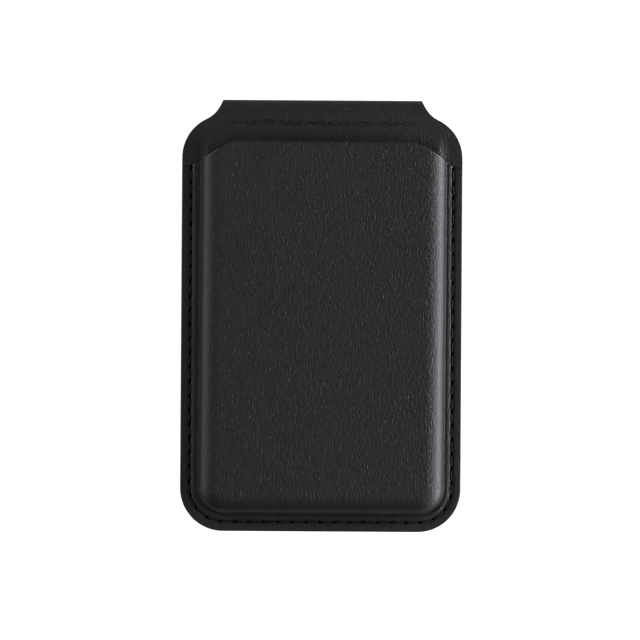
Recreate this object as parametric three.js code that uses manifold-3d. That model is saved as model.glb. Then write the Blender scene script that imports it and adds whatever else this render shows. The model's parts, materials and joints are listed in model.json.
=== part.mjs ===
// Magnetic phone wallet that folds open as a stand. Two leaves hang together by one bend of leather:
// the back leaf holds a ring of magnets for the phone, and the wallet leaf carries a moulded card pocket.
// It lies on its magnet face: X across, Y up the phone with the fold at +Y, Z out of the phone. Millimetres.
import * as THREE from "three";
import { mergeVertices } from "three/addons/utils/BufferGeometryUtils.js";
import Module from "manifold-3d";

const wasm = await Module();
wasm.setup();

// Driving dimensions of the folded wallet
const width = 65;
const length = 100;
const cornerRadius = 10;
const leatherThickness = 0.8;
const liningThickness = 0.3;
const leafGap = 0.3;

// Waist where the leather narrows to cross the fold
const waistHalf = 23.05;
const shoulderDrop = 13.6;

// Board and magnets in the back leaf
const magnetThickness = 0.7;
const yokeThickness = 0.3;
const carrierWeb = 0.3;
const carrierInset = 0.3;
const boardTopDrop = 5.1;
const ringOuterRadius = 27.5;
const ringBand = 4.5;
const ringCentreY = 8;
const ringMagnets = 16;
const magnetSpacing = 0.8;
const barMagnetLength = 18;
const barMagnetWidth = 6;
const barMagnetGap = 2.5;
const pocketClearance = 0.3;

// Board and shield in the wallet leaf
const boardThickness = 1;
const shieldThickness = 0.4;
const shieldWidth = 46;
const shieldLength = 80;
const shieldCorner = 3;
const boardClearance = 0.1;

// Card pocket: seam allowance, raised face and mouth
const flangeWidth = 3.7;
const panelSlopeWidth = 2;
const faceHeight = 6;
const wallDraft = 0.4;
const wallHeight = 3;
const foldOfPocketFoot = 0.8;
const mouthDrop = 10;
const mouthSideDrop = 16;
const mouthFlatHalf = 20.2;
const mouthSlantHalf = 24.8;
const mouthSlantDrop = 12;
const mouthSideHalf = 29.6;
const mouthShoulderDrop = 14.9;
const marginDrop = 14.2;
const marginRise = 7;

// Stitching round the pocket
const stitchInset = 2.2;
const stitchPitch = 3.3;
const grooveWidth = 0.9;
const grooveDepth = 0.35;
const threadWidth = 0.6;
const threadHeight = 0.4;
const threadSink = 0.12;
const threadLift = 0.02;

const cornerSteps = 8;
const shoulderSteps = 8;
const notchSteps = 4;
const bendSteps = 12;
const roundSteps = 4;

// Levels of the layers, from the phone outwards
const carrierThickness = magnetThickness + yokeThickness + carrierWeb;
const carrierBottom = leatherThickness;
const backLiningBottom = carrierBottom + carrierThickness;
const walletLiningBottom = backLiningBottom + liningThickness + leafGap;
const boardBottom = walletLiningBottom + liningThickness;
const panelBottom = boardBottom + boardThickness;
const panelTop = panelBottom + leatherThickness;
const marginTop = boardBottom + leatherThickness;
const flangeTop = marginTop + leatherThickness;
const faceTop = flangeTop + faceHeight;

// Places in plan
const halfWidth = width / 2;
const topY = length / 2;
const bottomY = -length / 2;
const cornerX = halfWidth - cornerRadius;
const cornerY = bottomY + cornerRadius;
const bendRadius = panelTop / 2;
const bendY = topY - bendRadius;
const shoulderY = topY - shoulderDrop;
const boardTopY = topY - boardTopDrop;
const mouthSideY = topY - mouthSideDrop;
const marginEndY = topY - marginDrop;

// The waist is cut in the flat leather, so its centre lies on the unrolled middle of the bend.
const notchY = bendY + (bendRadius * Math.PI) / 2;
const waistOffset = waistHalf - cornerX;
const notchRise = notchY - shoulderY;
const notchRadius =
  (waistOffset ** 2 + notchRise ** 2 - cornerRadius ** 2) / (2 * (cornerRadius - waistOffset));
const notchX = waistHalf + notchRadius;

const leather = new THREE.MeshStandardMaterial({ color: 0x2c2a2c, roughness: 0.55, metalness: 0 });
const lining = new THREE.MeshStandardMaterial({ color: 0x232325, roughness: 0.95, metalness: 0 });
const board = new THREE.MeshStandardMaterial({ color: 0x4a4642, roughness: 0.9, metalness: 0 });
const magnet = new THREE.MeshStandardMaterial({ color: 0xb9bcc0, roughness: 0.3, metalness: 1 });
const steel = new THREE.MeshStandardMaterial({ color: 0x9a9da1, roughness: 0.4, metalness: 1 });
const thread = new THREE.MeshStandardMaterial({ color: 0x161617, roughness: 0.7, metalness: 0 });

const wallet = new THREE.Group();

function addPiece(name, geometry, material, parent = wallet) {
  const mesh = new THREE.Mesh(geometry, material);
  mesh.name = name;
  parent.add(mesh);
  return mesh;
}

// Closed solids from geometry, and back again

function toSolid(geometry) {
  const bare = geometry.clone();
  bare.deleteAttribute("normal");
  bare.deleteAttribute("uv");
  const merged = mergeVertices(bare, 1e-4);
  return new wasm.Manifold(
    new wasm.Mesh({
      numProp: 3,
      vertProperties: new Float32Array(merged.attributes.position.array),
      triVerts: new Uint32Array(merged.index.array),
    }),
  );
}

function toGeometry(solid) {
  const mesh = solid.getMesh();
  const geometry = new THREE.BufferGeometry();
  geometry.setAttribute("position", new THREE.BufferAttribute(mesh.vertProperties, 3));
  geometry.setIndex(new THREE.BufferAttribute(mesh.triVerts, 1));
  geometry.computeVertexNormals();
  return geometry;
}

function slab(shape, bottom, thickness, curveSegments = cornerSteps) {
  const geometry = new THREE.ExtrudeGeometry(shape, {
    depth: thickness,
    bevelEnabled: false,
    curveSegments,
  });
  return geometry.translate(0, 0, bottom);
}

// A solid through a row of loops with equal counts, closed by a cap on the first and the last.
function loft(loops, capTriangles) {
  const count = loops[0].length;
  const position = loops.flat().flatMap((point) => point.toArray());
  const index = [];
  for (let ring = 0; ring + 1 < loops.length; ring++) {
    for (let i = 0; i < count; i++) {
      const a = ring * count + i;
      const b = ring * count + ((i + 1) % count);
      index.push(a, b, b + count, a, b + count, a + count);
    }
  }
  const last = (loops.length - 1) * count;
  for (const [a, b, c] of capTriangles(loops[0])) index.push(c, b, a);
  for (const [a, b, c] of capTriangles(loops.at(-1))) index.push(last + a, last + b, last + c);
  const geometry = new THREE.BufferGeometry();
  geometry.setAttribute("position", new THREE.Float32BufferAttribute(position, 3));
  geometry.setIndex(index);
  geometry.computeVertexNormals();
  return geometry;
}

const planCap = (loop) => THREE.ShapeUtils.triangulateShape(loop.map((p) => new THREE.Vector2(p.x, p.y)), []);
const fanCap = (loop) => loop.slice(2).map((_, i) => [0, i + 1, i + 2]);
const raise = (outline, heightAt) => outline.map((p) => new THREE.Vector3(p.x, p.y, heightAt(p)));

// Outlines in plan: the right half from the lower edge upwards, then its mirror image.

function arcPoints(x, y, radius, from, to, steps) {
  return Array.from({ length: steps + 1 }, (_, i) => {
    const angle = from + ((to - from) * i) / steps;
    return new THREE.Vector2(x + radius * Math.cos(angle), y + radius * Math.sin(angle));
  });
}

const mirrored = (half) => [...half, ...half.map((p) => new THREE.Vector2(-p.x, p.y)).reverse()];

const lowerCorner = (inset) =>
  arcPoints(cornerX, cornerY, cornerRadius - inset, -Math.PI / 2, 0, cornerSteps);

// The cut leather of one leaf, up to the line where its bend starts.
function leatherOutline() {
  const shoulderEnd = Math.atan2(notchRise, notchX - cornerX);
  const notchStart = shoulderEnd - Math.PI;
  const notchEnd = Math.asin((notchY - bendY) / notchRadius) - Math.PI;
  return mirrored([
    ...lowerCorner(0),
    new THREE.Vector2(halfWidth, marginEndY),
    ...arcPoints(cornerX, shoulderY, cornerRadius, 0, shoulderEnd, shoulderSteps),
    ...arcPoints(notchX, notchY, notchRadius, notchStart, notchEnd, notchSteps).slice(1),
  ]);
}

// A rounded outline inside the leather's, with as many points, that ends below the bend.
function innerOutline(inset, top) {
  const radius = cornerRadius - inset;
  return mirrored([
    ...lowerCorner(inset),
    new THREE.Vector2(halfWidth - inset, marginEndY),
    ...arcPoints(cornerX, top - radius, radius, 0, Math.PI / 2, shoulderSteps + notchSteps),
  ]);
}

function roundedRectangle(halfX, bottom, top, radius) {
  const shape = new THREE.Shape();
  shape.absarc(halfX - radius, bottom + radius, radius, -Math.PI / 2, 0);
  shape.absarc(halfX - radius, top - radius, radius, 0, Math.PI / 2);
  shape.absarc(radius - halfX, top - radius, radius, Math.PI / 2, Math.PI);
  shape.absarc(radius - halfX, bottom + radius, radius, Math.PI, 1.5 * Math.PI);
  shape.closePath();
  return shape;
}

const leafBoard = (inset) =>
  roundedRectangle(halfWidth - inset, bottomY + inset, boardTopY, cornerRadius - inset);

function ringShape(inner, outer) {
  const shape = new THREE.Shape();
  shape.absarc(0, ringCentreY, outer, 0, 2 * Math.PI);
  const hole = new THREE.Path();
  hole.absarc(0, ringCentreY, inner, 0, 2 * Math.PI, true);
  shape.holes.push(hole);
  return shape;
}

// Back leaf: leather towards the phone, a board that holds the magnets, and a lining

const backLeaf = new THREE.Group();
wallet.add(backLeaf);

addPiece("back_leather", slab(new THREE.Shape(leatherOutline()), 0, leatherThickness), leather, backLeaf);

const ringDepth = magnetThickness + yokeThickness;
const ringInnerRadius = ringOuterRadius - ringBand;
const barCentreY = ringCentreY - ringOuterRadius - barMagnetGap - barMagnetWidth / 2;

function barShape(clearance) {
  const halfX = barMagnetLength / 2 + clearance;
  const halfY = barMagnetWidth / 2 + clearance;
  return roundedRectangle(halfX, barCentreY - halfY, barCentreY + halfY, 1);
}

function magnetCarrier() {
  const ringRecess = ringShape(ringInnerRadius - pocketClearance, ringOuterRadius + pocketClearance);
  const below = 1;
  const plate = toSolid(slab(leafBoard(carrierInset), carrierBottom, carrierThickness));
  const forRing = toSolid(slab(ringRecess, carrierBottom - below, ringDepth + below, 24));
  const forBar = toSolid(slab(barShape(pocketClearance), carrierBottom - below, ringDepth + below, 2));
  return toGeometry(plate.subtract(forRing).subtract(forBar));
}

addPiece("magnet_carrier", magnetCarrier(), board, backLeaf);

// Arc magnets, evenly spaced round the ring with a small gap between neighbours.
function arcMagnet() {
  const middle = (ringInnerRadius + ringOuterRadius) / 2;
  const halfAngle = Math.PI / ringMagnets - magnetSpacing / 2 / middle;
  const shape = new THREE.Shape();
  shape.absarc(0, 0, ringOuterRadius, -halfAngle, halfAngle);
  shape.absarc(0, 0, ringInnerRadius, halfAngle, -halfAngle, true);
  shape.closePath();
  return slab(shape, 0, magnetThickness, 4);
}

for (let i = 0; i < ringMagnets; i++) {
  const name = `ring_magnet_${String(i + 1).padStart(2, "0")}`;
  const piece = addPiece(name, arcMagnet(), magnet, backLeaf);
  piece.position.set(0, ringCentreY, carrierBottom);
  piece.rotation.z = Math.PI / 2 + (i + 0.5) * ((2 * Math.PI) / ringMagnets);
}

const yokeBottom = carrierBottom + magnetThickness;
addPiece("ring_yoke", slab(ringShape(ringInnerRadius, ringOuterRadius), yokeBottom, yokeThickness, 24), steel, backLeaf);
addPiece("bar_magnet", slab(barShape(0), carrierBottom, magnetThickness, 2), magnet, backLeaf);
addPiece("bar_yoke", slab(barShape(0), yokeBottom, yokeThickness, 2), steel, backLeaf);
addPiece("back_lining", slab(leafBoard(carrierInset), backLiningBottom, liningThickness), lining, backLeaf);

// Fold: the leather's narrow bend between the leaves, cut along the waist

function hingeLeather() {
  const sections = [];
  for (let step = 0; step <= bendSteps; step++) {
    const angle = -Math.PI / 2 + (Math.PI * step) / bendSteps;
    const along = bendRadius * angle;
    const half = notchX - Math.sqrt(notchRadius ** 2 - along ** 2);
    const place = (x, radius) =>
      new THREE.Vector3(x, bendY + radius * Math.cos(angle), bendRadius + radius * Math.sin(angle));
    const inside = bendRadius - leatherThickness;
    sections.push([place(half, bendRadius), place(-half, bendRadius), place(-half, inside), place(half, inside)]);
  }
  return loft(sections, fanCap);
}

addPiece("hinge_leather", hingeLeather(), leather, backLeaf);

// Wallet leaf: lining, board with its steel shield, and the leather panel pressed down round the board

const walletLeaf = new THREE.Group();
wallet.add(walletLeaf);

addPiece("wallet_lining", slab(leafBoard(carrierInset), walletLiningBottom, liningThickness), lining, walletLeaf);

const boardInset = flangeWidth + panelSlopeWidth + boardClearance;
const shieldCentreY = (bottomY + boardInset + boardTopY) / 2;

function shieldShape(clearance) {
  const halfY = shieldLength / 2 + clearance;
  const halfX = shieldWidth / 2 + clearance;
  return roundedRectangle(halfX, shieldCentreY - halfY, shieldCentreY + halfY, shieldCorner);
}

function walletBoard() {
  const above = 1;
  const outline = new THREE.Shape(innerOutline(boardInset, boardTopY));
  const plate = toSolid(slab(outline, boardBottom, boardThickness));
  const recess = toSolid(slab(shieldShape(pocketClearance), panelBottom - shieldThickness, shieldThickness + above, 3));
  return toGeometry(plate.subtract(recess));
}

addPiece("wallet_board", walletBoard(), board, walletLeaf);
addPiece("shield_plate", slab(shieldShape(0), panelBottom - shieldThickness, shieldThickness, 3), steel, walletLeaf);

// Round the board the leather lies lower by the board's thickness, and it rises again towards the fold.
function marginLevel(point) {
  return panelTop - boardThickness * (1 - THREE.MathUtils.smoothstep(point.y, marginEndY, marginEndY + marginRise));
}

function panelLeather() {
  const edge = raise(leatherOutline(), marginLevel);
  const foot = raise(innerOutline(flangeWidth, boardTopY), marginLevel);
  const crest = raise(innerOutline(flangeWidth + panelSlopeWidth, boardTopY), () => panelTop);
  const under = (loop) => loop.map((p) => new THREE.Vector3(p.x, p.y, p.z - leatherThickness));
  return loft([under(crest), under(foot), under(edge), edge, foot, crest], planCap);
}

addPiece("panel_leather", panelLeather(), leather, walletLeaf);

// Card pocket: one skin of leather, moulded over the cards' space and left open at its mouth

const faceRadius = faceHeight - wallHeight;
const faceInset = flangeWidth + wallDraft + faceRadius;

// Loops that run past the mouth, so that the mouth is one clean cut.
function pocketLoop(inset, level, overrun) {
  const half = [...lowerCorner(inset), new THREE.Vector2(halfWidth - inset, topY + overrun)];
  return raise(mirrored(half), () => level);
}

function faceRounding(skin, overrun) {
  const radius = faceRadius - skin;
  return Array.from({ length: roundSteps + 1 }, (_, i) => {
    const angle = ((Math.PI / 2) * i) / roundSteps;
    const inset = faceInset - radius * Math.cos(angle);
    return pocketLoop(inset, flangeTop + wallHeight + radius * Math.sin(angle), overrun);
  });
}

function mouthCut() {
  const shape = new THREE.Shape();
  const beyond = halfWidth + 1;
  const above = topY + 20;
  shape.moveTo(mouthFlatHalf, topY - mouthDrop);
  shape.quadraticCurveTo(mouthSlantHalf - 2, topY - mouthDrop, mouthSlantHalf, topY - mouthSlantDrop);
  shape.lineTo(mouthSideHalf, topY - mouthShoulderDrop);
  shape.quadraticCurveTo(halfWidth - 1.5, mouthSideY, beyond, mouthSideY);
  shape.lineTo(beyond, above);
  shape.lineTo(-beyond, above);
  shape.lineTo(-beyond, mouthSideY);
  shape.quadraticCurveTo(1.5 - halfWidth, mouthSideY, -mouthSideHalf, topY - mouthShoulderDrop);
  shape.lineTo(-mouthSlantHalf, topY - mouthSlantDrop);
  shape.quadraticCurveTo(2 - mouthSlantHalf, topY - mouthDrop, -mouthFlatHalf, topY - mouthDrop);
  shape.closePath();
  return toSolid(slab(shape, 0, faceTop + 5, 5));
}

function stitchPath(inset) {
  const side = halfWidth - inset;
  const radius = cornerRadius - inset;
  const path = new THREE.Path();
  path.moveTo(-side, mouthSideY);
  path.lineTo(-side, cornerY);
  path.absarc(-cornerX, cornerY, radius, Math.PI, 1.5 * Math.PI);
  path.lineTo(cornerX, bottomY + inset);
  path.absarc(cornerX, cornerY, radius, -Math.PI / 2, 0);
  path.lineTo(side, mouthSideY);
  return path;
}

function stitchGroove() {
  const overrun = 3;
  const band = (inset) => {
    const half = [...lowerCorner(inset), new THREE.Vector2(halfWidth - inset, mouthSideY + overrun)];
    return mirrored(half);
  };
  const outer = band(stitchInset - grooveWidth / 2);
  const inner = band(stitchInset + grooveWidth / 2);
  const topRight = outer.length / 2;
  const round = [...outer.slice(topRight), ...outer.slice(0, topRight)];
  const back = [...inner.slice(topRight), ...inner.slice(0, topRight)].reverse();
  return toSolid(slab(new THREE.Shape([...round, ...back]), flangeTop - grooveDepth, grooveDepth + 1));
}

function cardPocket() {
  const overrun = 10;
  const outside = loft(
    [
      pocketLoop(0, marginTop, overrun),
      pocketLoop(0, flangeTop, overrun),
      pocketLoop(flangeWidth, flangeTop, overrun),
      ...faceRounding(0, overrun),
    ],
    planCap,
  );
  const inside = loft(
    [
      pocketLoop(flangeWidth, marginTop - 1, overrun + 1),
      pocketLoop(flangeWidth, marginTop, overrun + 1),
      pocketLoop(flangeWidth + foldOfPocketFoot, flangeTop, overrun + 1),
      ...faceRounding(leatherThickness, overrun + 1),
    ],
    planCap,
  );
  const skin = toSolid(outside).subtract(toSolid(inside));
  return toGeometry(skin.subtract(mouthCut()).subtract(stitchGroove()));
}

addPiece("card_pocket", cardPocket(), leather, walletLeaf);

// Thread: it lies in the groove and dips at each hole between two stitches.
function stitching() {
  const path = stitchPath(stitchInset);
  const stitches = Math.round((path.getLength() - stitchPitch / 2) / stitchPitch);
  const start = stitchPitch / 4;
  const floor = flangeTop - grooveDepth + threadLift;
  const run = path.getLength() - 2 * start;
  const sections = [];
  for (let i = 0; i <= stitches * 4; i++) {
    const at = (start + (run * i) / (stitches * 4)) / path.getLength();
    const centre = path.getPointAt(at);
    const tangent = path.getTangentAt(at);
    const top = threadHeight - (i % 4 === 0 ? threadSink : 0);
    const narrow = i % 4 === 0 ? 0.6 : 1;
    const place = (across, up) =>
      new THREE.Vector3(
        centre.x - (tangent.y * across * threadWidth * narrow) / 2,
        centre.y + (tangent.x * across * threadWidth * narrow) / 2,
        floor + up * top,
      );
    sections.push([place(0.5, 0), place(1, 0.5), place(0.5, 1), place(-0.5, 1), place(-1, 0.5), place(-0.5, 0)]);
  }
  return loft(sections, fanCap);
}

addPiece("stitching", stitching(), thread, walletLeaf);

export default wallet;
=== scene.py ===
"""Magnetic phone wallet: the leather, seams, linings and light that dress its fixed frame."""

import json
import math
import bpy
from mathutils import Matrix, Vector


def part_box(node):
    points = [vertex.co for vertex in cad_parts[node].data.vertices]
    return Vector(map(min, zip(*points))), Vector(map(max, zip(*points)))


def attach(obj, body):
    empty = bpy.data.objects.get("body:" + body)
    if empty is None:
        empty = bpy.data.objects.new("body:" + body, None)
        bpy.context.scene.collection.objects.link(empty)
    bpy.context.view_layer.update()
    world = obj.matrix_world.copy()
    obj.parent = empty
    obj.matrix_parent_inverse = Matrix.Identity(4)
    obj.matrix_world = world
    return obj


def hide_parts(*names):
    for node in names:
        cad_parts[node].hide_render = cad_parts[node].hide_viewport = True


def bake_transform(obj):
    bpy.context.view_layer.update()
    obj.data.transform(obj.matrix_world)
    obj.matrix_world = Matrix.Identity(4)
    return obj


bl_info = {
    "name": "Magnetic Phone Wallet",
    "version": (1, 0, 0),
    "blender": (4, 5, 0),
    "location": "View3D > Sidebar > Wallet",
    "description": "Dresses a folding magnetic phone wallet in moulded and stitched leather",
    "category": "Object",
}

import bmesh
import bpy
from bpy.props import FloatProperty, FloatVectorProperty, IntProperty, PointerProperty
from mathutils import Matrix, Vector, noise

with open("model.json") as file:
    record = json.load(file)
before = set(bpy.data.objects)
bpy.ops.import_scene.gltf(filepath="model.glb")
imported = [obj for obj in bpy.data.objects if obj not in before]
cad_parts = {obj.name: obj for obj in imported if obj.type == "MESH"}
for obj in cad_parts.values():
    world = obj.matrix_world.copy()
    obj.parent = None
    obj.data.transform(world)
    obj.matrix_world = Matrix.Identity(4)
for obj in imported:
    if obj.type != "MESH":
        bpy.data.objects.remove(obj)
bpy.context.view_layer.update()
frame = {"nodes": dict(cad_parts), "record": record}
BACK, WALLET = "back_leaf", "wallet_leaf"

POCKET_LOW, POCKET_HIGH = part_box("card_pocket")
PANEL_LOW, PANEL_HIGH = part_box("panel_leather")
BACK_LOW, BACK_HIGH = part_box("back_leather")
BOARD_LOW, BOARD_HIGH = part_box("wallet_board")
_, HINGE_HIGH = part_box("hinge_leather")
LEATHER = BACK_HIGH[2] - BACK_LOW[2]


def length(name, default, description):
    """A size in metres, as a property with a plain description."""
    return FloatProperty(name=name, default=default, description=description, unit="LENGTH", precision=5)


def number(name, default, description, subtype="NONE"):
    return FloatProperty(name=name, default=default, description=description, subtype=subtype)


def colour(name, default, description):
    return FloatVectorProperty(
        name=name, default=default, description=description, subtype="COLOR", size=4, min=0, max=1
    )


class WalletShape(bpy.types.PropertyGroup):
    """Sizes of the cut leather, the moulding and the seam"""

    leather: length("Leather", LEATHER, "Thickness of the leather")
    corner: length("Corner", 0.010, "Corner radius of the cut leather")
    waist: length("Waist", 0.02305, "Half the leather's width at the middle of the fold")
    shoulder: length("Shoulder", 0.0136, "Drop from the fold to the centre of the shoulder's arc")
    edge_round: length("Edge rounding", 0.00016, "Rounding of the painted cut edges")
    flange: length("Flange", 0.0041, "Width of the sewn margin outside the moulding")
    slope: length("Slope", 0.002, "Width over which the leather rises onto the board")
    crease: length("Crease", 0.00008, "Depth of the pressed line round the moulding")
    crease_width: length("Crease width", 0.00018, "Half width of that pressed line")
    crease_gap: length("Crease gap", 0.0001, "Distance of that pressed line from the foot of the wall")
    wall: length("Wall", 0.003, "Height of the moulded wall below its rounding")
    draft: length("Draft", 0.0004, "How far the moulded wall leans in")
    rounding: length("Rounding", 0.0042, "Width of the rounding between the wall and the face")
    shift: length("Mould shift", 0.00026, "How far the moulding sits right of the leather's middle")
    lean: number("Mould lean", 0.0036, "Turn of the moulding, as its slope")
    mouth: length("Mouth", 0.010, "Drop from the fold to the pocket's mouth")
    mouth_side: length("Mouth side", 0.016, "Drop from the fold to the mouth at the sides")
    mouth_flat: length("Mouth flat", 0.0202, "Half width of the mouth's straight middle")
    slant_start: length("Slant start", 0.0248, "Half width at which the mouth's straight slant starts")
    slant_end: length("Slant end", 0.0296, "Half width at which the mouth's straight slant ends")
    slant_drop: length("Slant drop", 0.0020, "Fall of the mouth before its straight slant")
    slant_fall: length("Slant fall", 0.0029, "Fall of the mouth over its straight slant")
    seam: length("Seam", 0.0022, "Distance of the seam from the edge")
    pitch: length("Stitch", 0.0033, "Length of one stitch")
    groove: length("Groove", 0.00023, "Depth to which the seam pulls the leather down")
    groove_width: length("Groove width", 0.00044, "Half width of that groove")
    margin_end: length("Margin end", 0.0142, "Drop from the fold to where the sewn margin starts to rise")
    margin_rise: length("Margin rise", 0.007, "Length over which the margin rises to the fold")
    dip: length("Dip", 0.00022, "How far the leather sinks just above the mouth")
    bulge: length("Bulge", 0.00012, "How far the leather swells between the seam and the moulding")
    hole: length("Hole", 0.00130, "Length of an awl hole")
    hole_width: length("Hole width", 0.00050, "Width of an awl hole")
    thread: length("Thread", 0.00034, "Diameter of the sewing thread")
    sag: length("Unevenness", 0.00005, "Slow unevenness of the hand-laid leather")


class WalletColours(bpy.types.PropertyGroup):
    """Colours and finishes"""

    leather: colour("Leather", (0.0062, 0.0056, 0.0063, 1), "Black leather")
    leather_worn: colour("Leather ridges", (0.0100, 0.0091, 0.0101, 1), "Leather where its grain stands up")
    grain_width: length("Grain width", 0.00044, "Width of one streak of the leather's grain")
    grain_length: length("Grain length", 0.0013, "Length of one streak of the leather's grain")
    grain_height: length("Grain height", 0.00014, "Height of the leather's grain")
    # Painted shade: these three near-black colours stand in for the shade in wrinkles, under the pocket's
    # lip and inside the awl holes.
    crease: colour("Crease", (0.0005, 0.0005, 0.0005, 1), "Unlit leather in wrinkles and under the lip")
    hole: colour("Hole", (0.0003, 0.0003, 0.0003, 1), "Unlit leather in an awl hole")
    painted_hole_shade: colour("Hole shade", (0.0004, 0.0004, 0.0004, 1), "Bottom of an awl hole")
    edge: colour("Edge paint", (0.011, 0.011, 0.0115, 1), "Paint on the cut edges")
    lining: colour("Lining", (0.016, 0.016, 0.018, 1), "Brushed lining inside the leaves")
    thread: colour("Thread", (0.0070, 0.0068, 0.0071, 1), "Waxed thread")
    board: colour("Board", (0.020, 0.0195, 0.019, 1), "Fibre boards")
    magnet: colour("Magnet", (0.56, 0.57, 0.59, 1), "Nickel plating of the magnets")
    steel: colour("Steel", (0.34, 0.35, 0.37, 1), "Steel yokes and shield")
    floor: colour("Floor", (0.6, 0.6, 0.6, 1), "Studio floor")


class WalletStage(bpy.types.PropertyGroup):
    """Camera and light"""

    scale: number("Scale", 4321.0, "Picture points for each metre at the seam")
    picture: IntProperty(name="Picture", default=640, description="Side of the picture in points")
    centre_x: number("Centre X", 321.35, "Middle of the wallet in the picture")
    centre_y: number("Centre Y", 315.66, "Middle of the wallet in the picture")
    roll: number("Roll", math.radians(0.366), "Turn of the camera", subtype="ANGLE")
    height: length("Height", 0.75, "Height of the camera above the seam")
    right_power: number("Right light", 10.9, "Power of the right softbox in watts")
    left_power: number("Left light", 1.9, "Power of the left softbox in watts")
    far_power: number("Far lights", 0.45, "Power of each light beyond the fold in watts")
    overhead_power: number("Overhead light", 3.45, "Power of the overhead softbox in watts")
    ambient: number("Ambient", 0.05, "Strength of the studio's stray light")
    white: number("White", 0.96, "Glow with which the floor shows white in the picture")


def settings():
    scene = bpy.context.scene
    return scene.wallet_shape, scene.wallet_colours, scene.wallet_stage


# Helpers for meshes


def smoothstep(low, high, value):
    t = min(max((value - low) / (high - low), 0), 1)
    return t * t * (3 - 2 * t)


def spread(start, end, count):
    """Evenly spaced values from start to end, without the last one."""
    return [start + (end - start) * i / count for i in range(count)]


def unevenness(x, y, z, size):
    """Slow noise, the same on every run, between about -1 and 1."""
    return noise.noise(Vector((x / size, y / size, z / size)))


def finish_mesh(bm, name, materials, smooth=True):
    """Makes an object at the origin from a bmesh whose place is in its vertices."""
    mesh = bpy.data.meshes.new(name)
    bm.to_mesh(mesh)
    bm.free()
    for material in materials:
        mesh.materials.append(material)
    if smooth:
        mesh.shade_smooth()
    piece = bpy.data.objects.new(name, mesh)
    bpy.context.collection.objects.link(piece)
    return piece


def close_shell(bm, rim_material, rounding):
    """Joins the open borders of an outer and an inner skin, and rounds the edges of that rim."""
    border = [edge for edge in bm.edges if edge.is_boundary]
    before = set(bm.faces)
    bmesh.ops.bridge_loops(bm, edges=border)
    rim = [face for face in bm.faces if face not in before]
    for face in rim:
        face.material_index = rim_material
    bmesh.ops.recalc_face_normals(bm, faces=bm.faces)
    rim_faces = set(rim)
    corners = [e for e in border if any(f in rim_faces for f in e.link_faces)]
    bmesh.ops.bevel(
        bm,
        geom=corners,
        offset=rounding,
        offset_type="OFFSET",
        affect="EDGES",
        segments=3,
        profile=0.5,
        material=rim_material,
        clamp_overlap=True,
    )


def partners(old_verts, fresh):
    """The new vertices of an extrusion, in the order of the old ones that they were drawn from."""
    pairs = []
    for vertex in old_verts:
        pairs.append(next(e.other_vert(vertex) for e in vertex.link_edges if e.other_vert(vertex) in fresh))
    return pairs


def of_kind(items, kind):
    return [item for item in items if isinstance(item, kind)]


# Plan of the cut leather


def fold_radius():
    return HINGE_HIGH[2] / 2


def fold_line():
    """Where the bend starts, along the length."""
    return HINGE_HIGH[1] - fold_radius()


class Blank:
    """The cut leather of one leaf, laid flat: its half width at a distance from the fold's middle line."""

    def __init__(self, shape):
        self.half = PANEL_HIGH[0]
        self.corner = shape.corner
        self.centre_x = self.half - shape.corner
        self.quarter = fold_radius() * math.pi / 2
        self.end = self.quarter + fold_line() - PANEL_LOW[1]
        self.shoulder = self.quarter + fold_line() - (HINGE_HIGH[1] - shape.shoulder)
        offset = shape.waist - self.centre_x
        self.notch = (offset**2 + self.shoulder**2 - self.corner**2) / (2 * (self.corner - offset))
        self.notch_x = shape.waist + self.notch
        self.tangent = self.shoulder * self.notch / (self.notch + self.corner)

    def half_width(self, run):
        if run < self.tangent:
            return self.notch_x - math.sqrt(self.notch**2 - run**2)
        if run < self.shoulder:
            return self.centre_x + math.sqrt(max(self.corner**2 - (self.shoulder - run) ** 2, 0))
        past = run - (self.end - self.corner)
        if past <= 0:
            return self.half
        return self.centre_x + math.sqrt(max(self.corner**2 - past**2, 0))

    def rows(self):
        """Distances from the fold's middle line, closer together where the leather bends and curves."""
        top = self.quarter
        bottom = self.end - self.corner
        rows = spread(0, top, 14) + spread(top, self.shoulder + 0.006, 56)
        rows += spread(self.shoulder + 0.006, bottom, 34)
        quarter = [bottom + self.corner * math.sin(angle) for angle in spread(0, math.pi / 2, 22)]
        return rows + quarter + [self.end]


def edge_distance(x, y, shape):
    """Distance in from the wallet's straight sides, lower end and lower corners."""
    half, low, corner = PANEL_HIGH[0], PANEL_LOW[1], shape.corner
    across = abs(x) - (half - corner)
    down = (low + corner) - y
    if across > 0 and down > 0:
        return corner - math.hypot(across, down)
    return min(half - abs(x), y - low)


def mould_shift(shape, y):
    """Sideways shift of the moulding, which sits a little askew on the cut leather."""
    return shape.shift + shape.lean * y


def panel_level(shape, x, y):
    """Height of the wallet leaf's leather: low in the sewn margin, up over the board and at the fold."""
    board = BOARD_HIGH[2] - BOARD_LOW[2]
    dip_run, covered = 0.0026, 0.0004
    rise = HINGE_HIGH[1] - shape.margin_end
    margin = 1 - smoothstep(rise, rise + shape.margin_rise, y)
    inside = edge_distance(x - mould_shift(shape, y), y, shape)
    wave = 1 + 0.25 * unevenness(x, y, 3, 0.006)
    over_board = smoothstep(shape.flange * 0.97, shape.flange + shape.slope * wave, inside)
    level = PANEL_HIGH[2] - board * margin * (1 - over_board)
    mouth = mouth_line(shape, x)
    level -= shape.dip * smoothstep(mouth + dip_run, mouth - covered, y) * over_board
    return level - board_end_crease(x, y) + shape.sag * 0.8 * unevenness(x, y, 7, 0.009)


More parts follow.
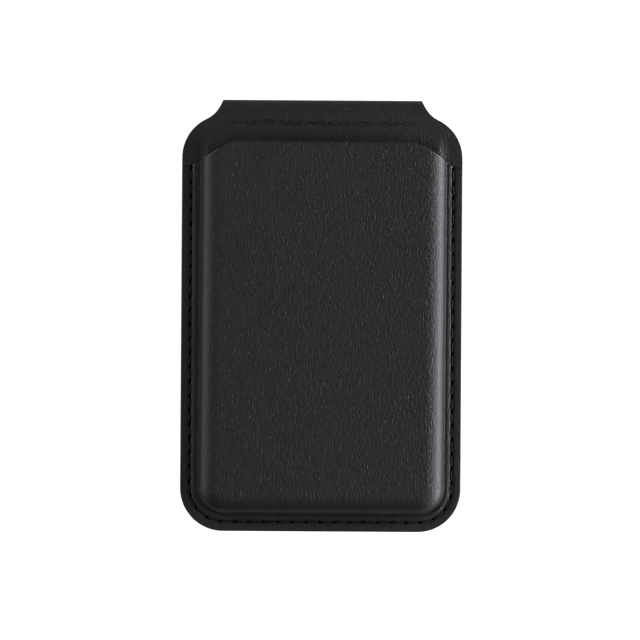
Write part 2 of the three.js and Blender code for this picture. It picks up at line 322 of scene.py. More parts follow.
def board_end_crease(x, y):
    """Depth of the faint, uneven crease where the board ends below the leather, and of the step there."""
    width, height, step_height = 0.00045, 0.00009, 0.00012
    reach = abs(x) / PANEL_HIGH[0]
    line = BOARD_HIGH[1] + 0.0001 - 0.0022 * smoothstep(0.62, 0.95, reach)
    line += 0.00035 * unevenness(x, 0, 11, 0.012)
    off = (y - line) / width
    strength = max(0.6 + 0.6 * unevenness(x, 0, 19, 0.005), 0.1)
    fade = 1 - smoothstep(0.70, 0.92, reach)
    step = step_height * (1 - smoothstep(line + 0.0016, line - 0.0006, y))
    return height * strength * fade * math.exp(-off * off) + step


# Materials


def feed(tree, value, socket):
    """Links a socket to another one, or gives it a plain value."""
    if isinstance(value, bpy.types.NodeSocket):
        tree.links.new(value, socket)
    else:
        socket.default_value = value


def calculate(tree, operation, *values, clamp=False):
    node = tree.nodes.new("ShaderNodeMath")
    node.operation = operation
    node.use_clamp = clamp
    for value, socket in zip(values, node.inputs):
        feed(tree, value, socket)
    return node.outputs[0]


def map_range(tree, value, low, high, to_low=0.0, to_high=1.0, smooth=False):
    node = tree.nodes.new("ShaderNodeMapRange")
    node.interpolation_type = "SMOOTHSTEP" if smooth else "LINEAR"
    limits = {"From Min": low, "From Max": high, "To Min": to_low, "To Max": to_high}
    for name, limit in limits.items():
        node.inputs[name].default_value = limit
    tree.links.new(value, node.inputs["Value"])
    return node.outputs["Result"]


def mix(tree, kind, factor, first, second):
    """A blend of two colours (RGBA) or of two numbers (FLOAT)."""
    node = tree.nodes.new("ShaderNodeMix")
    node.data_type = kind
    for name, value in (("Factor", factor), ("A", first), ("B", second)):
        feed(tree, value, node.inputs[name])
    return node.outputs["Result"]


def object_place(tree, stretch=None):
    """Object coordinates in metres, or stretched to a number of repeats for each metre."""
    place = tree.nodes.new("ShaderNodeTexCoord").outputs["Object"]
    if stretch is None:
        return place
    mapping = tree.nodes.new("ShaderNodeMapping")
    mapping.inputs["Scale"].default_value = stretch
    tree.links.new(place, mapping.inputs["Vector"])
    return mapping.outputs["Vector"]


def object_axis(tree, axis):
    split = tree.nodes.new("ShaderNodeSeparateXYZ")
    tree.links.new(object_place(tree), split.inputs[0])
    return split.outputs[axis]


def noise_texture(tree, place, scale, detail=2.0, distortion=0.0):
    node = tree.nodes.new("ShaderNodeTexNoise")
    for name, value in (("Scale", scale), ("Detail", detail), ("Distortion", distortion)):
        node.inputs[name].default_value = value
    tree.links.new(place, node.inputs["Vector"])
    return node.outputs["Fac"]


def attribute(tree, name):
    """A value that the mesh holds at each vertex."""
    node = tree.nodes.new("ShaderNodeAttribute")
    node.attribute_name = name
    return node.outputs["Fac"]


def bump(tree, height, distance, strength=1.0, sunk=False, under=None):
    """Normals of a height, laid over other normals where they are given."""
    node = tree.nodes.new("ShaderNodeBump")
    node.invert = sunk
    node.inputs["Strength"].default_value = strength
    node.inputs["Distance"].default_value = distance
    tree.links.new(height, node.inputs["Height"])
    if under:
        tree.links.new(under, node.inputs["Normal"])
    return node.outputs["Normal"]


def new_group(name, *outputs):
    tree = bpy.data.node_groups.new(name, "ShaderNodeTree")
    for output in outputs:
        tree.interface.new_socket(name=output, in_out="OUTPUT", socket_type="NodeSocketFloat")
    return tree, tree.nodes.new("NodeGroupOutput")


def use_group(tree, group, values=None):
    """Places a node group in a material, with that material's own values."""
    node = tree.nodes.new("ShaderNodeGroup")
    node.node_tree = group
    for name, value in (values or {}).items():
        node.inputs[name].default_value = value
    return node.outputs


def grain_group(sizes):
    """Leather grain: fine streaks of a given width and length, with small pores between them."""
    found = bpy.data.node_groups.get("Leather Grain")
    if found:
        return found
    tree, out = new_group("Leather Grain", "Height", "Ridge")
    for name, size in sizes.items():
        socket = tree.interface.new_socket(name=name, in_out="INPUT", socket_type="NodeSocketFloat")
        socket.default_value = size
    given = tree.nodes.new("NodeGroupInput")
    across = calculate(tree, "DIVIDE", 1.0, given.outputs["Width"])
    along = calculate(tree, "DIVIDE", 1.0, given.outputs["Length"])
    stretch = tree.nodes.new("ShaderNodeCombineXYZ")
    for repeats, axis in zip((across, along, across), stretch.inputs):
        tree.links.new(repeats, axis)
    stretched = tree.nodes.new("ShaderNodeVectorMath")
    stretched.operation = "MULTIPLY"
    tree.links.new(object_place(tree), stretched.inputs[0])
    tree.links.new(stretch.outputs[0], stretched.inputs[1])
    streaks = noise_texture(tree, stretched.outputs[0], 1.0, 1.5, 0.6)
    cells = tree.nodes.new("ShaderNodeTexVoronoi")
    cells.feature = "SMOOTH_F1"
    cells.inputs["Scale"].default_value = 1.7
    cells.inputs["Smoothness"].default_value = 0.35
    tree.links.new(stretched.outputs[0], cells.inputs["Vector"])
    pores = noise_texture(tree, object_place(tree), 5200.0)
    domes = calculate(tree, "MULTIPLY", cells.outputs["Distance"], 0.45)
    ridges = calculate(tree, "SUBTRACT", streaks, domes)
    height = calculate(tree, "MULTIPLY_ADD", pores, 0.12, ridges)
    tree.links.new(height, out.inputs["Height"])
    tree.links.new(calculate(tree, "MULTIPLY_ADD", ridges, 1.6, 0.5, clamp=True), out.inputs["Ridge"])
    return tree


def wrinkle_shade_group(line, reach, level):
    """Painted shade: a mask, given out as Depth, of the short wavy wrinkles across the leather where the
    board ends below it; it only paints them dark and matt.
    """
    tree, out = new_group("Bend Wrinkle Shade", "Depth")
    folds = noise_texture(tree, object_place(tree, (520.0, 1500.0, 520.0)), 1.0, 2.0, 1.4)
    slow = noise_texture(tree, object_place(tree), 130.0)

    def size(value):
        return calculate(tree, "ABSOLUTE", value)

    off = calculate(tree, "SUBTRACT", object_axis(tree, "Y"), line)
    wander = calculate(tree, "MULTIPLY_ADD", slow, 0.0016, -0.0008)
    band = map_range(tree, size(calculate(tree, "SUBTRACT", off, wander)), 0.0010, 0.0002, smooth=True)
    inside = map_range(tree, size(object_axis(tree, "X")), reach, reach * 0.72, smooth=True)
    above = map_range(tree, object_axis(tree, "Z"), level * 0.8, level, smooth=True)
    patches = map_range(tree, slow, 0.2, 0.42, smooth=True)
    depth = map_range(tree, size(calculate(tree, "SUBTRACT", folds, 0.5)), 0.12, 0.02, smooth=True)
    for mask in (band, inside, above, patches):
        depth = calculate(tree, "MULTIPLY", depth, mask)
    tree.links.new(depth, out.inputs["Depth"])
    return tree


def awl_group(shape):
    """Mask of the awl holes, from the seam's run in stitches and the distance to its side."""
    tree, out = new_group("Awl Holes", "Mask")
    lumps = noise_texture(tree, object_place(tree, (10800.0, 7800.0, 121000.0)), 1.0)
    uneven = calculate(tree, "MULTIPLY_ADD", lumps, 0.00024, -0.00012)
    side = calculate(tree, "ADD", attribute(tree, "seam_side"), uneven)
    cell = calculate(tree, "FRACT", calculate(tree, "ADD", attribute(tree, "seam_run"), 0.5))
    along = calculate(tree, "MULTIPLY", calculate(tree, "SUBTRACT", cell, 0.5), shape.pitch)
    turn = math.radians(12)

    def share(first, second, operation, size):
        """A distance on one axis of the slanted hole, as a share of half its size."""
        ahead = calculate(tree, "MULTIPLY", first, 2 * math.cos(turn) / size)
        aside = calculate(tree, "MULTIPLY", second, 2 * math.sin(turn) / size)
        value = calculate(tree, operation, ahead, aside)
        return calculate(tree, "MULTIPLY", value, value)

    length_square = share(along, side, "ADD", shape.hole)
    width_square = share(side, along, "SUBTRACT", shape.hole_width)
    squares = calculate(tree, "ADD", length_square, width_square)
    tree.links.new(map_range(tree, squares, 1.5, 0.6, smooth=True), out.inputs["Mask"])
    return tree


def principled(name):
    material = bpy.data.materials.new(name)
    material.use_nodes = True
    tree = material.node_tree
    return material, tree, tree.nodes["Principled BSDF"]


def finish(tree, shader, colour, roughness, normal=None, specular=None):
    """Feeds the shader its colour, roughness and normals, and sets its plain specular level."""
    feed(tree, colour, shader.inputs["Base Color"])
    feed(tree, roughness, shader.inputs["Roughness"])
    if normal:
        tree.links.new(normal, shader.inputs["Normal"])
    if specular is not None:
        shader.inputs["Specular IOR Level"].default_value = specular


def shade(colour, share):
    """A lighter or darker tone of a colour."""
    return tuple(channel * share for channel in colour[:3]) + (1,)


def taut_grain(tree, height):
    """Grain flattens where the leather is drawn over the pocket's wall and rounding."""
    face, flange = POCKET_HIGH[2], POCKET_LOW[2] + LEATHER
    level = object_axis(tree, "Z")
    upper = map_range(tree, level, face - 0.0006, face - 0.00012, 0.4, 1.0)
    lower = map_range(tree, level, flange + 0.0002, flange + 0.0008, 0.85, 0.45)
    return calculate(tree, "MULTIPLY", height, calculate(tree, "MAXIMUM", upper, lower))


def leather_material(colours, name="black leather", seam=None, wrinkles=None):
    """Matt black leather; a seam's shape adds its awl holes, sunk by a bump and with painted shade in them,
    and a group adds painted shade in its wrinkles, together with a painted shadow under the pocket's lip.
    """
    material, tree, shader = principled(name)
    sizes = {"Width": colours.grain_width, "Length": colours.grain_length}
    grain = use_group(tree, grain_group(sizes), sizes)
    tone = mix(tree, "RGBA", grain["Ridge"], colours.leather, colours.leather_worn)
    gloss = map_range(tree, grain["Ridge"], 0.1, 0.9, 0.64, 0.50)
    normal = bump(tree, taut_grain(tree, grain["Height"]), colours.grain_height)
    if wrinkles:
        # Painted shade: near-black colour, fully rough, over the wrinkles and as a shadow under the
        # pocket's lip.
        lip = map_range(tree, attribute(tree, "lip_shadow_distance"), 0.0004, 0.00018)
        painted_shade = calculate(tree, "MAXIMUM", use_group(tree, wrinkles)["Depth"], lip)
        tone = mix(tree, "RGBA", painted_shade, tone, colours.crease)
        gloss = mix(tree, "FLOAT", painted_shade, gloss, 1.0)
    if seam:
        # Painted shade: the awl holes are coloured near black and fully rough, besides the real sinking by
        # a bump.
        hole = use_group(tree, awl_group(seam))["Mask"]
        tone = mix(tree, "RGBA", hole, tone, colours.hole)
        gloss = mix(tree, "FLOAT", hole, gloss, 1.0)
        normal = bump(tree, hole, 0.0003, sunk=True, under=normal)
    finish(tree, shader, tone, gloss, normal, 0.42)
    shader.inputs["Specular Tint"].default_value = (1.0, 0.955, 1.0, 1)
    return material


def edge_material(colours):
    """Rubbery paint over the cut edges, with a slightly uneven gloss."""
    material, tree, shader = principled("edge paint")
    lumps = noise_texture(tree, object_place(tree), 900.0, 3.0)
    tone = mix(tree, "RGBA", lumps, shade(colours.edge, 0.7), colours.edge)
    gloss = map_range(tree, lumps, 0.3, 0.7, 0.29, 0.4)
    finish(tree, shader, tone, gloss, bump(tree, lumps, 0.00003, 0.4))
    return material


def lining_material(colours):
    """Brushed microfibre: matt, with a short nap that lies in soft patches."""
    material, tree, shader = principled("brushed lining")
    nap = noise_texture(tree, object_place(tree), 3800.0, 4.0)
    patch = noise_texture(tree, object_place(tree), 110.0)
    lifted = map_range(tree, calculate(tree, "MULTIPLY", nap, patch), 0.12, 0.4)
    tone = mix(tree, "RGBA", lifted, colours.lining, shade(colours.lining, 1.9))
    finish(tree, shader, tone, 0.95, bump(tree, nap, 0.00005, 0.7), 0.2)
    shader.inputs["Sheen Weight"].default_value = 0.25
    shader.inputs["Sheen Roughness"].default_value = 0.5
    return material


def thread_material(colours):
    material, tree, shader = principled("waxed thread")
    fibre = noise_texture(tree, object_place(tree), 9000.0)
    tone = mix(tree, "RGBA", fibre, colours.thread, shade(colours.thread, 2.0))
    finish(tree, shader, tone, map_range(tree, fibre, 0.3, 0.7, 0.55, 0.75), specular=0.16)
    return material


def hole_shade_material(colours):
    """Painted shade: a near-black, matt finish that stands in for the shade inside an awl hole."""
    material, tree, shader = principled("awl hole")
    finish(tree, shader, colours.painted_hole_shade, 1.0, specular=0.02)
    return material


def board_material(colours):
    """Pressed fibre board, dark all through, with a short fibrous fleck."""
    material, tree, shader = principled("fibre board")
    fleck = noise_texture(tree, object_place(tree), 1500.0, 5.0)
    tone = mix(tree, "RGBA", map_range(tree, fleck, 0.4, 0.65), colours.board, shade(colours.board, 1.5))
    gloss = map_range(tree, fleck, 0.3, 0.7, 0.55, 0.75)
    finish(tree, shader, tone, gloss, bump(tree, fleck, 0.00003, 0.4))
    return material


def metal_material(name, base, rough_low, rough_high, brushed):
    """Plated or rolled metal, with fine scratches along the sheet where it is rolled."""
    material, tree, shader = principled(name)
    place = object_place(tree, (2600.0, 90.0 if brushed else 2600.0, 2600.0))
    marks = noise_texture(tree, place, 1.0, 4.0)
    tone = mix(tree, "RGBA", marks, shade(base, 0.82), base)
    finish(tree, shader, tone, map_range(tree, marks, 0.3, 0.7, rough_low, rough_high))
    shader.inputs["Metallic"].default_value = 1.0
    return material


# Pieces


class WALLET_OT_cover(bpy.types.Operator):
    """One cut of leather: over the wallet leaf, round the fold and over the phone side"""

    bl_idname = "wallet.cover"
    bl_label = "Leather Cover"

    def execute(self, context):
        shape, colours, _ = settings()
        blank = Blank(shape)
        rows = blank.rows()
        runs = [-run for run in reversed(rows)] + rows[1:]
        columns = 96
        bm = bmesh.new()
        for depth in (0.0, shape.leather):
            made = bmesh.ops.create_grid(bm, x_segments=columns, y_segments=len(runs) - 1, size=1.0)
            for vertex in made["verts"]:
                row = round((vertex.co.y + 1) / 2 * (len(runs) - 1))
                vertex.co = self.place(shape, blank, vertex.co.x, runs[row], depth)
        close_shell(bm, 1, shape.edge_round)
        # Distance from the pocket's mouth on the upper skin, which places the painted shadow under the lip.
        lip_shadow_distances = bm.verts.layers.float.new("lip_shadow_distance")
        for vertex in bm.verts:
            inner = 1 - smoothstep(shape.slant_start, shape.slant_end, abs(vertex.co.x))
            away = abs(vertex.co.y - mouth_line(shape, vertex.co.x)) + 0.0004 * inner
            vertex[lip_shadow_distances] = away if vertex.co.z > BOARD_LOW[2] - 0.0002 else 1.0
        # Painted shade in the wrinkles where the board ends, and under the pocket's lip.
        wrinkles = wrinkle_shade_group(BOARD_HIGH[1] - 0.0003, PANEL_HIGH[0] * 0.78, BOARD_HIGH[2])
        leather = leather_material(colours, wrinkles=wrinkles)
        cover = finish_mesh(bm, "leather_cover", [leather, edge_material(colours)])
        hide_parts("panel_leather", "hinge_leather", "back_leather")
        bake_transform(cover)
        return {"FINISHED"}

    def place(self, shape, blank, share, run, depth):
        """A point of the leather, from its share of the half width, its run past the fold and its depth."""
        x = share * blank.half_width(abs(run))
        radius = fold_radius()
        if abs(run) <= blank.quarter:
            angle = run / radius
            out = radius - depth
            return Vector((x, fold_line() + out * math.cos(angle), radius + out * math.sin(angle)))
        y = fold_line() - (abs(run) - blank.quarter)
        if run < 0:
            return Vector((x, y, depth))
        return Vector((x, y, panel_level(shape, x, y) - depth))


def pocket_rings(shape):
    """Outer and inner skin of the pocket, ring by ring: (inset, level) outside and inside."""
    top = POCKET_HIGH[2]
    margin = POCKET_LOW[2]
    skin = shape.leather
    flange = margin + skin
    dome = top - flange - shape.wall
    face = shape.flange + shape.draft + shape.rounding
    rings = []
    flat_mm = (0, 0.3, 0.6, 0.9, 1.2, 1.45, 1.65, 1.85, 2.0, 2.12, 2.24, 2.36, 2.5, 2.7, 2.95, 3.2, 3.4)
    for inset in flat_mm:
        rings.append((inset / 1000, flange, inset / 1000, margin))
    foot = shape.flange
    for before, rise_share in ((0.0002, 0), (0.0001, 0.02), (0.00003, 0.05)):
        inner = max(foot - before + skin * rise_share * 8, 0)
        rise = shape.wall * rise_share
        rings.append((foot - before, flange + rise, inner, margin + rise))
    for share in (0.12, 0.2, 0.5, 0.8):
        inner = foot + skin + shape.draft * share
        level = flange + shape.wall * share
        rings.append((foot + shape.draft * share, level, inner, level))
    for angle in spread(0, math.pi / 2, 14) + [math.pi / 2]:
        across, up = math.cos(angle), flange + shape.wall
        inner = shape.rounding - skin
        outside = (face - shape.rounding * across, up + dome * math.sin(angle))
        rings.append((*outside, face - inner * across, up + (dome - skin) * math.sin(angle)))
    middle = POCKET_HIGH[0]
    for inset in spread(face, middle, 22)[1:] + [middle]:
        rings.append((inset, top, inset, top - skin))
    return rings


def hermite(start, end, start_slope, end_slope, value):
    """Cubic curve through two points with given slopes, at a value between them."""
    span = end[0] - start[0]
    t = (value - start[0]) / span
    rise = start[1] + (end[1] - start[1]) * t * t * (3 - 2 * t)
    return rise + span * t * (1 - t) * ((1 - t) * start_slope - t * end_slope)


def mouth_line(shape, x):
    """Where the pocket's mouth lies along the length: straight in the middle, slanted to the sides."""
    out = abs(x)
    slope = shape.slant_fall / (shape.slant_end - shape.slant_start)
    slant_low = (shape.slant_start, shape.slant_drop)
    slant_high = (shape.slant_end, shape.slant_drop + shape.slant_fall)
    side = (POCKET_HIGH[0], shape.mouth_side - shape.mouth)
    if out <= shape.mouth_flat:
        fall = 0
    elif out <= shape.slant_start:
        fall = hermite((shape.mouth_flat, 0), slant_low, 0, slope, out)
    elif out <= shape.slant_end:
        fall = slant_low[1] + slope * (out - shape.slant_start)
    else:
        fall = hermite(slant_high, side, slope, 0.2, min(out, side[0]))
    return HINGE_HIGH[1] - shape.mouth - fall


def pocket_stations(shape, inset):
    """Points down one side, round the lower end and up the other side, at one inset from the edge."""
    half = POCKET_HIGH[0] - inset
    bottom = POCKET_LOW[1] + inset
    corner = max(shape.corner - inset, 0)
    centre = Vector((half - corner, bottom + corner))
    top = mouth_line(shape, half)
    side_count, bend_count, base_count = 170, 24, 52
    side = [Vector((half, y)) for y in spread(top, centre.y, side_count)]
    bend = []
    for angle in spread(0, -math.pi / 2, bend_count):
        bend.append(centre + corner * Vector((math.cos(angle), math.sin(angle))))
    base = [Vector((x, bottom)) for x in spread(centre.x, 0, base_count) + [0]]
    right = side + bend + base
    left = [Vector((-point.x, point.y)) for point in reversed(right[:-1])]
    return right + left


def seam_length(shape):
    straight = mouth_line(shape, PANEL_HIGH[0] - shape.seam) - (POCKET_LOW[1] + shape.corner)
    return 2 * straight + math.pi * (shape.corner - shape.seam) + 2 * (PANEL_HIGH[0] - shape.corner)


def seam_point(shape, run):
    """Place and direction of the seam at a run from its right upper end."""
    half = PANEL_HIGH[0] - shape.seam
    radius = shape.corner - shape.seam
    low = POCKET_LOW[1] + shape.corner
    straight = mouth_line(shape, half) - low
    bend = radius * math.pi / 2
    base = 2 * (PANEL_HIGH[0] - shape.corner)
    centre = PANEL_HIGH[0] - shape.corner
    if run <= straight:
        return Vector((half, low + straight - run)), Vector((0, -1))
    run -= straight
    if run <= bend:
        angle = -run / radius
        return (
            Vector((centre + radius * math.cos(angle), low + radius * math.sin(angle))),
            Vector((math.sin(angle), -math.cos(angle))),
        )
    run -= bend
    if run <= base:
        return Vector((centre - run, low - radius)), Vector((-1, 0))
    run -= base
    if run <= bend:
        angle = -math.pi / 2 - run / radius
        return (
            Vector((-centre + radius * math.cos(angle), low + radius * math.sin(angle))),
            Vector((math.sin(angle), -math.cos(angle))),
        )
    run -= bend
    return Vector((-half, low + run)), Vector((0, 1))


def seam_run(shape, x, y):
    """Run along the seam, from its right upper end, of the point beside a place."""
    centre = PANEL_HIGH[0] - shape.corner
    low = POCKET_LOW[1] + shape.corner
    radius = shape.corner - shape.seam
    straight = mouth_line(shape, PANEL_HIGH[0] - shape.seam) - low
    across, down = abs(x) - centre, low - y
    if down <= 0:
        run = straight + down
    elif across > 0:
        run = straight + radius * math.atan2(down, across)
    else:
        run = straight + radius * math.pi / 2 - across
    return run if x >= 0 else seam_length(shape) - run


def first_stitch(shape):
    """Number of stitches, and the run at which the first one starts."""
    total = seam_length(shape)
    free_ends = 0.0016
    count = round((total - free_ends) / shape.pitch)
    return count, (total - count * shape.pitch) / 2


def stitch_holes(shape):
    """Middle and direction of each awl hole, evenly spaced along the seam."""
    count, first = first_stitch(shape)
    return [seam_point(shape, first + i * shape.pitch) for i in range(count + 1)]


class WALLET_OT_pocket(bpy.types.Operator):
    """The moulded card pocket, with its pressed crease, sewn margin and awl holes"""

    bl_idname = "wallet.pocket"
    bl_label = "Card Pocket"

    def execute(self, context):
        shape, colours, _ = settings()
        rings = pocket_rings(shape)
        bm = bmesh.new()
        for outside in (True, False):
            self.skin(bm, shape, rings, outside)
        bmesh.ops.remove_doubles(bm, verts=bm.verts, dist=2e-6)
        close_shell(bm, 1, 1.9 * shape.edge_round)
        _, first = first_stitch(shape)
        runs = bm.verts.layers.float.new("seam_run")
        sides = bm.verts.layers.float.new("seam_side")
        flange = POCKET_LOW[2] + shape.leather
        sewn_width = shape.flange - shape.seam + 0.0004
        for vertex in bm.verts:
            side = edge_distance(vertex.co.x, vertex.co.y, shape) - shape.seam
            outside = vertex.co.z > flange - 0.0003
            vertex[sides] = side if outside else 1.0
            vertex[runs] = (seam_run(shape, vertex.co.x, vertex.co.y) - first) / shape.pitch
            if outside and side < sewn_width:
                self.press_seam(shape, vertex, side, vertex[runs])
            else:
                slow = unevenness(vertex.co.x, vertex.co.y, 5, 0.02)
                share = smoothstep(flange + shape.wall, POCKET_HIGH[2] - shape.leather, vertex.co.z)
                vertex.co.z += shape.sag * (slow - 1) * share
        # The seam's shape makes the pocket's leather paint shade into its awl holes.
        materials = [leather_material(colours, "pocket leather", shape), edge_material(colours)]
        pocket = finish_mesh(bm, "moulded_pocket", materials)
        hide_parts("card_pocket")
        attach(pocket, WALLET)
        return {"FINISHED"}

    def skin(self, bm, shape, rings, outside):
        """One skin of the pocket: the outline's edges, drawn inwards ring by ring."""
        edges = []
        for ring in rings:
            inset, level = ring[:2] if outside else ring[2:]
            askew = smoothstep(0.75 * shape.flange, 0.95 * shape.flange, inset)
            points = []
            for p in pocket_stations(shape, inset):
                points.append(Vector((p.x + askew * mould_shift(shape, p.y), p.y, level)))
            if not edges:
                verts = [bm.verts.new(point) for point in points]
                edges = [bm.edges.new(pair) for pair in zip(verts, verts[1:])]
            else:
                made = bmesh.ops.extrude_edge_only(bm, edges=edges)["geom"]
                verts = partners(verts, set(of_kind(made, bmesh.types.BMVert)))
                edges = [bm.edges.get(pair) for pair in zip(verts, verts[1:])]
                for vertex, point in zip(verts, points):
                    vertex.co = point

    def press_seam(self, shape, vertex, side, run):
        """Sinks the leather along the seam, and a little more at each awl hole."""
        pull = math.exp(-((side / shape.groove_width) ** 2))
        hole = math.exp(-(((run - round(run)) * shape.pitch / shape.hole * 2) ** 2))
        inner = shape.flange - shape.seam
        x, y = vertex.co.x, vertex.co.y
        moulded = edge_distance(x - mould_shift(shape, y), y, shape) - shape.seam
        swell = smoothstep(0, inner * 0.65, side) * (1 - 0.45 * smoothstep(inner * 0.7, inner, moulded))
        line = math.exp(-(((moulded - inner + shape.crease_gap) / shape.crease_width) ** 2))
        low = POCKET_LOW[1] + shape.corner
        depth = shape.crease * (1 + 1.8 * smoothstep(low, low - 0.6 * shape.corner, vertex.co.y))
        vertex.co.z += shape.bulge * swell - depth * line
        vertex.co.z -= shape.groove * pull * (0.85 + 0.5 * hole * pull**3)


class WALLET_OT_stitching(bpy.types.Operator):
    """Twisted thread that shows between the holes of the seam, and a near-black bowl in each hole as
    painted shade
    """

    bl_idname = "wallet.stitching"
    bl_label = "Stitching"

    def execute(self, context):
        shape, colours, _ = settings()
        level = POCKET_LOW[2] + shape.leather
        holes = stitch_holes(shape)
        bm = bmesh.new()
        for (start, _), (end, _) in zip(holes, holes[1:]):
            self.stitch(bm, shape, start, end, level)
        # Painted shade: a black bowl sunk in each awl hole.
        for middle, direction in holes:
            self.painted_hole_shade(bm, shape, middle, direction, level)
        bmesh.ops.recalc_face_normals(bm, faces=bm.faces)
        seam = finish_mesh(bm, "seam_thread_and_hole_shade", [thread_material(colours), hole_shade_material(colours)])
        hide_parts("stitching")
        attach(seam, WALLET)
        return {"FINISHED"}

    def painted_hole_shade(self, bm, shape, middle, direction, level):
        """Painted shade inside an awl hole: a shallow, near-black oval bowl, slanted on the seam."""
        top = level - shape.groove * 0.82
        turn, depth = math.radians(-14), 0.00012
        axis = Matrix.Rotation(math.atan2(direction.y, direction.x) + turn, 4, "Z")
        ball = bmesh.ops.create_uvsphere(bm, u_segments=14, v_segments=6, radius=0.5)["verts"]
        lump = 1 + 0.16 * unevenness(middle.x, middle.y, 0, 0.004)
        stretch = Matrix.Diagonal((shape.hole * lump, shape.hole_width, depth, 1))
        place = Matrix.Translation((middle.x, middle.y, top)) @ axis @ stretch
        bmesh.ops.transform(bm, matrix=place, verts=ball)
        for face in {face for vertex in ball for face in vertex.link_faces}:
            face.material_index = 1

    def stitch(self, bm, shape, start, end, level):
        """One stitch: two plies twisted together, dipping into the hole at each end."""
        along = end - start
        direction = along.normalized()
        aside = Vector((-direction.y, direction.x, 0))
        steps, sides, turns = 14, 8, 1.5
        end_gap, ply = 0.10, 0.14
        radius = shape.thread / 2
        ring = bmesh.ops.create_circle(bm, cap_ends=True, segments=sides, radius=radius)["verts"]
        angles = [math.atan2(vertex.co.y, vertex.co.x) for vertex in ring]
        face = ring[0].link_faces[0]
        for step in range(steps + 1):
            share = end_gap + (1 - 2 * end_gap) * step / steps
            if step:
                grown = bmesh.ops.extrude_face_region(bm, geom=[face])["geom"]
                if step > 1:
                    bmesh.ops.delete(bm, geom=[face], context="FACES_ONLY")
                face = of_kind(grown, bmesh.types.BMFace)[0]
                ring = partners(ring, set(of_kind(grown, bmesh.types.BMVert)))
            dip = smoothstep(0.58, 0.84, abs(2 * share - 1))
            rise = level - shape.groove * 0.85 + radius * 0.2 - radius * 2.6 * dip
            middle = (start + along * share).to_3d()
            middle.z = rise
            twist = share * math.tau * turns
            for vertex, angle in zip(ring, angles):
                turned = angle - twist
                lobe = radius * (1 + ply * math.cos(2 * angle)) * (1 - 0.25 * dip)
                vertex.co = middle + aside * (lobe * math.cos(turned))
                vertex.co.z += lobe * math.sin(turned)


class WALLET_OT_linings(bpy.types.Operator):
    """Boards, linings, magnets and steel keep their CAD form and get their finishes"""

    bl_idname = "wallet.inside"
    bl_label = "Inside Pieces"

    def execute(self, context):
        _, colours, _ = settings()
        finishes = {
            "lining_cloth": lining_material(colours),
            "board": board_material(colours),
            "magnet": metal_material("nickel plate", tuple(colours.magnet), 0.18, 0.3, False),
            "steel": metal_material("rolled steel", tuple(colours.steel), 0.32, 0.5, True),
        }
        for row in frame["record"]["subparts"]:
            if row["material_slot"] in finishes:
                node = frame["nodes"][row["node"]]
                node.data.materials.clear()
                node.data.materials.append(finishes[row["material_slot"]])
        return {"FINISHED"}


# Stage


def area_light(name, place, target, size, power, tint=(1, 1, 1)):
    """A rectangular softbox: its width and height, turned towards a target."""
    lamp = bpy.data.lights.new(name, "AREA")
    lamp.shape = "RECTANGLE"
    lamp.size, lamp.size_y = size
    lamp.energy = power
    lamp.color = tint
    light = bpy.data.objects.new(name, lamp)
    light.location = place
    light.rotation_euler = (Vector(target) - Vector(place)).to_track_quat("-Z", "Y").to_euler()
    bpy.context.collection.objects.link(light)


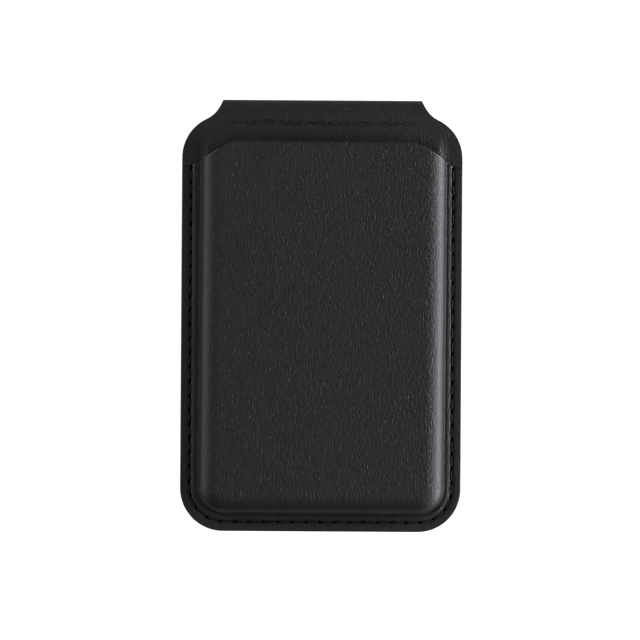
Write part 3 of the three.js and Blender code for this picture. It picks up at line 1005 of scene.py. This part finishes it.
class WALLET_OT_stage(bpy.types.Operator):
    """Pale floor, soft light from the right and a camera straight above"""

    bl_idname = "wallet.stage"
    bl_label = "Stage"

    def execute(self, context):
        _, colours, view = settings()
        scene = context.scene
        scene.view_settings.view_transform = "Standard"
        self.camera(scene, view)
        self.floor(colours, view.white)
        self.world(scene, view.ambient)
        low = (0, 0, 0.008)
        cool = (0.97, 0.98, 1.0)
        area_light("right softbox", (0.60, 0.00, 0.12), low, (0.80, 0.22), view.right_power, cool)
        area_light("left softbox", (-0.56, 0.10, 0.16), low, (0.60, 0.30), view.left_power)
        area_light("far left strip", (-0.39, 0.46, 0.03), low, (0.20, 0.05), view.far_power)
        area_light("far right strip", (0.39, 0.46, 0.03), low, (0.20, 0.05), view.far_power)
        area_light("overhead softbox", (0.0, 0.0, 1.30), (0, 0, 0), (1.60, 1.60), view.overhead_power)
        return {"FINISHED"}

    def camera(self, scene, view):
        lens = bpy.data.cameras.new("camera")
        lens.sensor_fit = "HORIZONTAL"
        lens.sensor_width = 36.0
        seam_level = PANEL_HIGH[2]
        lens.lens = view.scale * view.height / view.picture * lens.sensor_width
        lens.clip_start = 0.01
        eye = bpy.data.objects.new("camera", lens)
        shift_x = (view.picture / 2 - view.centre_x) / view.scale
        shift_y = (view.centre_y - view.picture / 2) / view.scale
        eye.location = (shift_x, shift_y, seam_level + view.height)
        eye.rotation_euler = (0, 0, view.roll)
        bpy.context.collection.objects.link(eye)
        scene.camera = eye

    def floor(self, colours, white):
        """A pale floor that takes the object's shadow and looks white to the camera."""
        bm = bmesh.new()
        bmesh.ops.create_grid(bm, x_segments=1, y_segments=1, size=1.5)
        bmesh.ops.translate(bm, vec=(0, 0, -0.00005), verts=bm.verts)
        material, tree, shader = principled("studio floor")
        finish(tree, shader, colours.floor, 0.9, specular=0.1)
        glow = tree.nodes.new("ShaderNodeEmission")
        ray = tree.nodes.new("ShaderNodeLightPath")
        total = tree.nodes.new("ShaderNodeAddShader")
        seen = calculate(tree, "MULTIPLY", ray.outputs["Is Camera Ray"], white)
        tree.links.new(seen, glow.inputs["Strength"])
        tree.links.new(shader.outputs[0], total.inputs[0])
        tree.links.new(glow.outputs[0], total.inputs[1])
        tree.links.new(total.outputs[0], tree.nodes["Material Output"].inputs["Surface"])
        floor = finish_mesh(bm, "floor", [material], smooth=False)

    def world(self, scene, ambient):
        world = bpy.data.worlds.new("studio")
        world.use_nodes = True
        tree = world.node_tree
        back = tree.nodes["Background"]
        back.inputs["Color"].default_value = (1, 1, 1, 1)
        ray = tree.nodes.new("ShaderNodeLightPath")
        strength = map_range(tree, ray.outputs["Is Camera Ray"], 0.0, 1.0, ambient, 1.0)
        tree.links.new(strength, back.inputs["Strength"])
        scene.world = world


class WALLET_PT_panel(bpy.types.Panel):
    """Sizes, colours and the steps that dress the wallet"""

    bl_label = "Phone Wallet"
    bl_idname = "WALLET_PT_panel"
    bl_space_type = "VIEW_3D"
    bl_region_type = "UI"
    bl_category = "Wallet"

    def draw(self, context):
        for group in settings():
            box = self.layout.box()
            for name in group.bl_rna.properties.keys():
                if name not in ("rna_type", "name"):
                    box.prop(group, name)
        for operator in OPERATORS:
            self.layout.operator(operator.bl_idname)


GROUPS = {"wallet_shape": WalletShape, "wallet_colours": WalletColours, "wallet_stage": WalletStage}
OPERATORS = (WALLET_OT_stage, WALLET_OT_cover, WALLET_OT_pocket, WALLET_OT_stitching, WALLET_OT_linings)


def register():
    for cls in (*GROUPS.values(), *OPERATORS, WALLET_PT_panel):
        bpy.utils.register_class(cls)
    for name, cls in GROUPS.items():
        setattr(bpy.types.Scene, name, PointerProperty(type=cls))


def unregister():
    for name in GROUPS:
        delattr(bpy.types.Scene, name)
    for cls in reversed((*GROUPS.values(), *OPERATORS, WALLET_PT_panel)):
        bpy.utils.unregister_class(cls)


def main():
    register()
    bpy.ops.wallet.stage()
    bpy.ops.wallet.cover()
    bpy.ops.wallet.pocket()
    bpy.ops.wallet.stitching()
    bpy.ops.wallet.inside()


if __name__ == "__main__":
    main()
